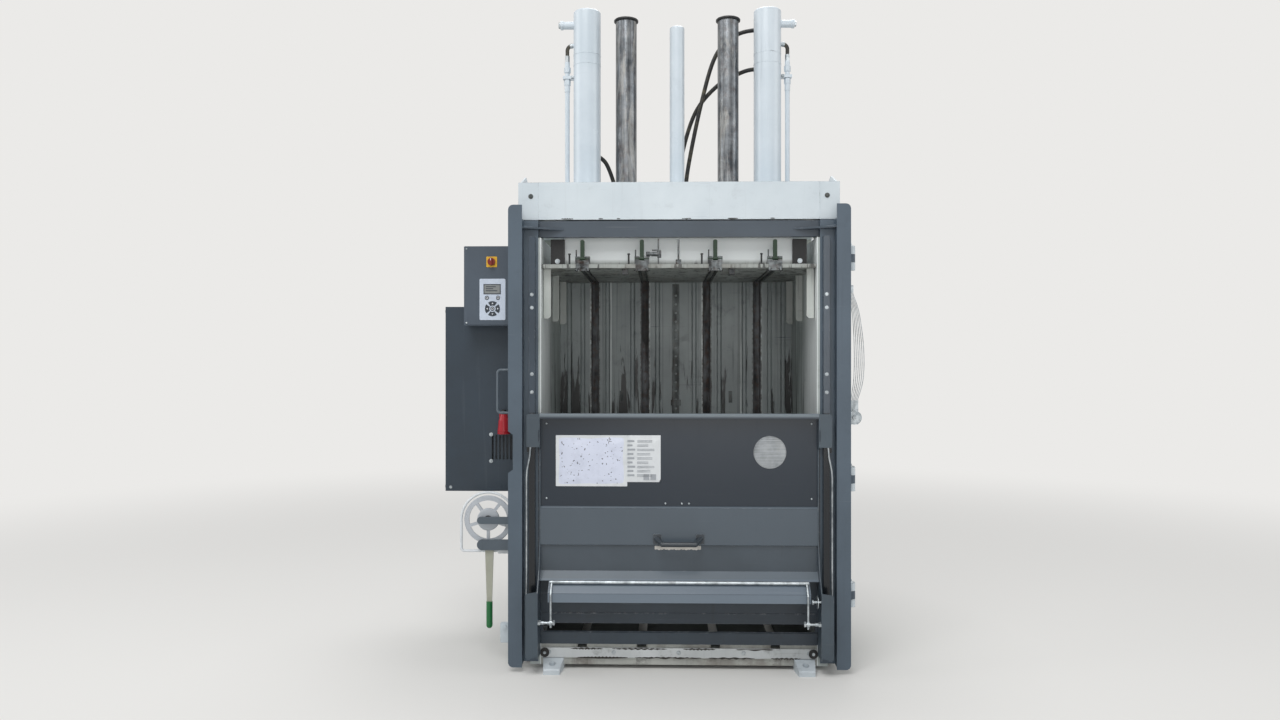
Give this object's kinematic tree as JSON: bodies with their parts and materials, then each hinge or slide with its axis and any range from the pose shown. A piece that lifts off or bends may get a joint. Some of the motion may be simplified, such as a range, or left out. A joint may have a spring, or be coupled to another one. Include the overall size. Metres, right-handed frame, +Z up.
{
  "type": "vertical recycling baler",
  "caption": "Upright recycling baler with a full-height hinged door, sliding loading gate, hydraulic ram under a white crosshead, control box and power cabinet.",
  "frame": {"origin": "on the floor under the middle of the press chamber, in the middle of the four anchor holes", "axes": "+X towards the hinge side of the door, +Y back from the front door, +Z up along the cylinders"},
  "size_m": [1.9324, 0.9959, 3.01],
  "materials": {
    "chamber_paint": "worn semi-gloss cream-grey enamel",
    "floor_paint": "scraped cream-grey enamel over steel",
    "bare_sill": "bare steel plate, scratched",
    "zinc": "bright zinc-plated steel",
    "guide_rust": "bare steel with surface rust",
    "slotted_strip": "bare perforated steel strip",
    "beam_paint": "semi-gloss cool white enamel",
    "cylinder_paint": "gloss cool white enamel",
    "pipe_paint": "white enamel on drawn tube",
    "hose_rubber": "wrapped black rubber",
    "bronze": "turned bronze, oiled",
    "ram_paint": "scraped cream-grey enamel",
    "pad_plastic": "pressed black polyethylene",
    "rod_chrome": "ground and hard-chromed",
    "tube_steel": "dark drawn steel, greasy",
    "cap_plastic": "black moulded cap",
    "bracket_steel": "zinc-plated, dulled",
    "lever_green": "green moulded plastic",
    "door_paint": "semi-gloss blue-grey enamel",
    "gate_paint": "semi-gloss blue-grey enamel",
    "panel_paint": "semi-gloss blue-grey enamel in shade",
    "box_paint": "fine-textured blue-grey powder coat",
    "cabinet_paint": "fine-textured blue-grey powder coat",
    "handle_paint": "dark blue-grey enamel, hand-worn",
    "switch_yellow": "yellow moulded plastic",
    "switch_red": "red moulded plastic",
    "keypad_film": "pale blue-white keypad film",
    "lcd": "grey liquid-crystal window",
    "inlet_red": "red moulded plastic",
    "tank_paint": "plain grey enamel",
    "motor_paint": "plain grey enamel",
    "guard_paint": "white plastic-coated wire",
    "wheel_paint": "silver-white enamel, hand-worn",
    "lever_steel": "worn olive-grey enamel",
    "strand_steel": "drawn galvanised strand"
  },
  "bodies": {
    "chassis": {"base_frame": "floor_paint", "front_sill": "bare_sill", "frame_bolts": "zinc", "feet": "beam_paint", "side_wall_left": "chamber_paint", "side_wall_right": "chamber_paint", "columns": "chamber_paint", "back_wall": "chamber_paint", "strap_guides": "guide_rust", "wall_fittings": "slotted_strip", "crosshead": "beam_paint", "lifting_lugs": "beam_paint", "cylinders": "cylinder_paint", "pipes": "pipe_paint", "hoses": "hose_rubber", "sensor_tube": "cylinder_paint", "guide_bushes": "bronze", "hinge_brackets": "beam_paint", "control_box": "box_paint", "switch_plate": "switch_yellow", "keypad": "keypad_film", "display": "lcd", "cabinet": "cabinet_paint", "cabinet_cover": "cabinet_paint", "mains_inlet": "inlet_red", "oil_tank": "tank_paint", "pump_motor": "motor_paint", "wheel_bracket": "handle_paint", "wire_guard": "guard_paint", "anchor_bracket": "beam_paint", "strand_holder": "bracket_steel", "strands": "strand_steel"},
    "ram": {"platen": "ram_paint", "slide_pads": "pad_plastic", "guide_skids": "ram_paint", "piston_rods": "rod_chrome", "guide_tubes": "tube_steel", "guide_caps": "cap_plastic", "strap_brackets": "bracket_steel"},
    "strap_lever_a": {"strap_lever_1": "lever_green"},
    "strap_lever_b": {"strap_lever_2": "lever_green"},
    "strap_lever_c": {"strap_lever_3": "lever_green"},
    "strap_lever_d": {"strap_lever_4": "lever_green"},
    "door": {"door_post_left": "door_paint", "door_post_right": "door_paint", "door_top_rail": "door_paint", "door_panel": "panel_paint", "guide_rails": "door_paint", "door_pull": "handle_paint"},
    "gate": {"gate_panel": "gate_paint", "gate_sides": "gate_paint", "gate_handle": "handle_paint", "gate_rods": "zinc", "bow_bolts": "zinc"},
    "bow": {"bow_bar": "zinc"},
    "knob": {"switch_knob": "switch_red"},
    "wheel": {"lock_wheel": "wheel_paint"},
    "lever": {"lock_lever": "lever_steel", "lever_grip": "lever_green"}
  },
  "joints": [
    {"name": "door_swing", "type": "hinge", "parent": "chassis", "child": "door", "pos_m": [0.76, -0.325, 1], "axis": [0, 0, 1], "range_deg": [0, 110]},
    {"name": "gate_lift", "type": "slide", "parent": "door", "child": "gate", "axis": [0, 0, 1], "range_m": [0, 0.65]},
    {"name": "bow_tip", "type": "hinge", "parent": "gate", "child": "bow", "pos_m": [0, -0.492, 0.227], "axis": [1, 0, 0], "range_deg": [0, 95]},
    {"name": "ram_press", "type": "slide", "parent": "chassis", "child": "ram", "axis": [0, 0, -1], "range_m": [0, 0.8]},
    {"name": "strap_tilt_a", "type": "hinge", "parent": "ram", "child": "strap_lever_a", "pos_m": [-0.42, -0.378, 1.789], "axis": [1, 0, 0], "range_deg": [-40, 0]},
    {"name": "strap_tilt_b", "type": "hinge", "parent": "ram", "child": "strap_lever_b", "pos_m": [-0.16, -0.378, 1.789], "axis": [1, 0, 0], "range_deg": [-40, 0]},
    {"name": "strap_tilt_c", "type": "hinge", "parent": "ram", "child": "strap_lever_c", "pos_m": [0.16, -0.378, 1.789], "axis": [1, 0, 0], "range_deg": [-40, 0]},
    {"name": "strap_tilt_d", "type": "hinge", "parent": "ram", "child": "strap_lever_d", "pos_m": [0.42, -0.378, 1.789], "axis": [1, 0, 0], "range_deg": [-40, 0]},
    {"name": "switch_turn", "type": "hinge", "parent": "chassis", "child": "knob", "pos_m": [-0.839, -0.27, 1.788], "axis": [0, 1, 0], "range_deg": [0, 90]},
    {"name": "wheel_turn", "type": "hinge", "parent": "chassis", "child": "wheel", "pos_m": [-0.854, -0.27, 0.628], "axis": [0, 1, 0], "continuous": true},
    {"name": "lever_swing", "type": "hinge", "parent": "chassis", "child": "lever", "pos_m": [-0.846, -0.286, 0.519], "axis": [0, 1, 0], "range_deg": [0, 80]}
  ]
}
